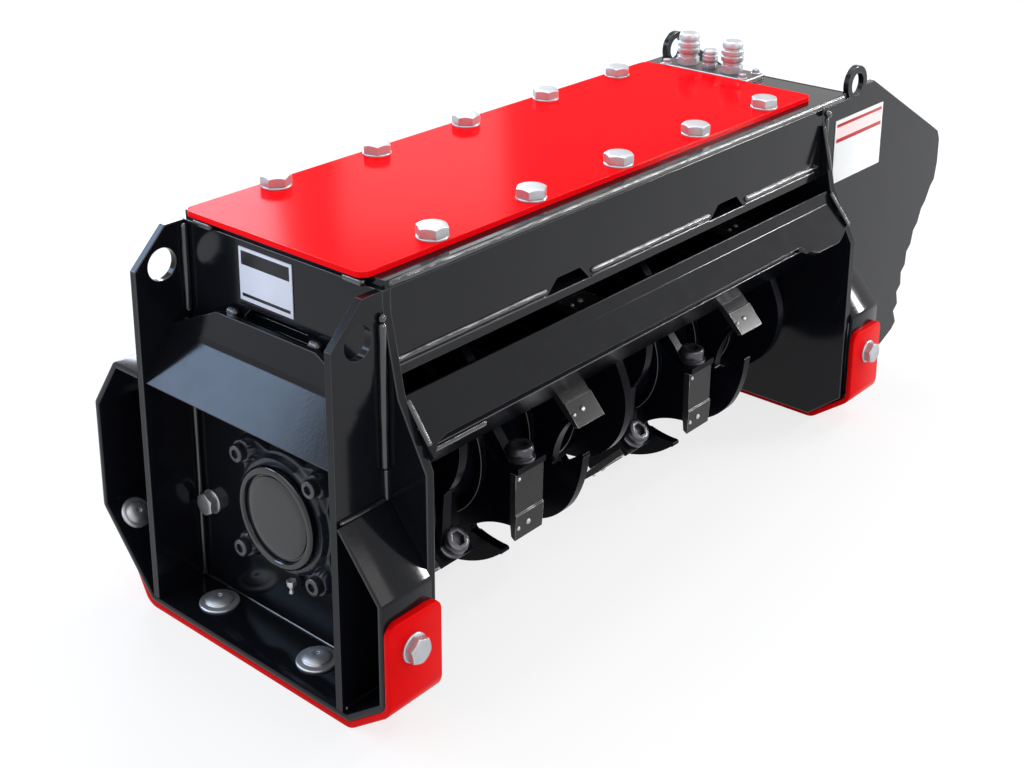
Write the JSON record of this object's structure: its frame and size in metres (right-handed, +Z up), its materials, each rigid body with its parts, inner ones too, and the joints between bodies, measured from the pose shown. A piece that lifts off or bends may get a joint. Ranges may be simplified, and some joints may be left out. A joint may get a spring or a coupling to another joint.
{
  "type": "excavator mulcher",
  "caption": "Excavator mulcher head: toothed rotor with limiter discs in an open box-section steel housing, bolted cover plate on top, wear shoes and a hydraulic motor guard.",
  "frame": {"origin": "on the ground under the middle of the overall box", "axes": "+X along the rotor from the bearing end to the motor end, +Y to the back hood, -Y to the open front, +Z up"},
  "size_m": [1.372, 0.519, 0.563],
  "materials": {
    "charcoal_paint": "high gloss",
    "red_gloss_paint": "high gloss",
    "red_satin_paint": "satin",
    "rotor_paint": "gloss",
    "tooth_steel": "semi gloss",
    "cast_black": "painted",
    "zinc_plate": "zinc plated"
  },
  "bodies": {
    "frame": {"back_hood": "charcoal_paint", "bearing_cap_near": "cast_black", "bearing_flange_far": "cast_black", "bearing_flange_near": "cast_black", "bearing_guard": "charcoal_paint", "box_floor": "charcoal_paint", "box_side_back": "charcoal_paint", "box_side_front": "charcoal_paint", "cheek_back": "charcoal_paint", "cheek_front": "charcoal_paint", "counter_knife": "tooth_steel", "cover_plate": "red_gloss_paint", "deck_plate": "charcoal_paint", "drive_motor": "cast_black", "end_plate_far": "charcoal_paint", "end_plate_near": "charcoal_paint", "front_bar": "charcoal_paint", "guard_side_back": "charcoal_paint", "guard_side_front": "charcoal_paint", "hydraulic_couplings": "zinc_plate", "motor_guard_top": "charcoal_paint", "port_plate": "zinc_plate", "shoe_bolts": "zinc_plate", "skid_strip_far": "charcoal_paint", "skid_strip_near": "charcoal_paint", "small_coupling": "zinc_plate", "wear_shoe_far": "red_satin_paint", "wear_shoe_near": "red_satin_paint"},
    "rotor": {"rotor_disc_1": "rotor_paint", "rotor_disc_2": "rotor_paint", "rotor_disc_3": "rotor_paint", "rotor_disc_4": "rotor_paint", "rotor_disc_5": "rotor_paint", "rotor_disc_6": "rotor_paint", "rotor_disc_7": "rotor_paint", "rotor_disc_8": "rotor_paint", "rotor_disc_9": "rotor_paint", "rotor_drum": "rotor_paint", "rotor_end_disc_far": "rotor_paint", "rotor_end_disc_near": "rotor_paint", "rotor_rings": "rotor_paint", "rotor_shaft": "rotor_paint", "rotor_teeth_1": "tooth_steel", "rotor_teeth_2": "tooth_steel", "rotor_teeth_3": "tooth_steel", "rotor_teeth_4": "tooth_steel", "rotor_teeth_5": "tooth_steel", "rotor_teeth_6": "tooth_steel", "rotor_teeth_7": "tooth_steel", "rotor_teeth_8": "tooth_steel", "rotor_teeth_9": "tooth_steel"}
  },
  "joints": [
    {"name": "rotor_spin", "type": "hinge", "parent": "frame", "child": "rotor", "pos_m": [-0.154, -0.0115, 0.172], "axis": [1, 0, 0], "continuous": true}
  ]
}
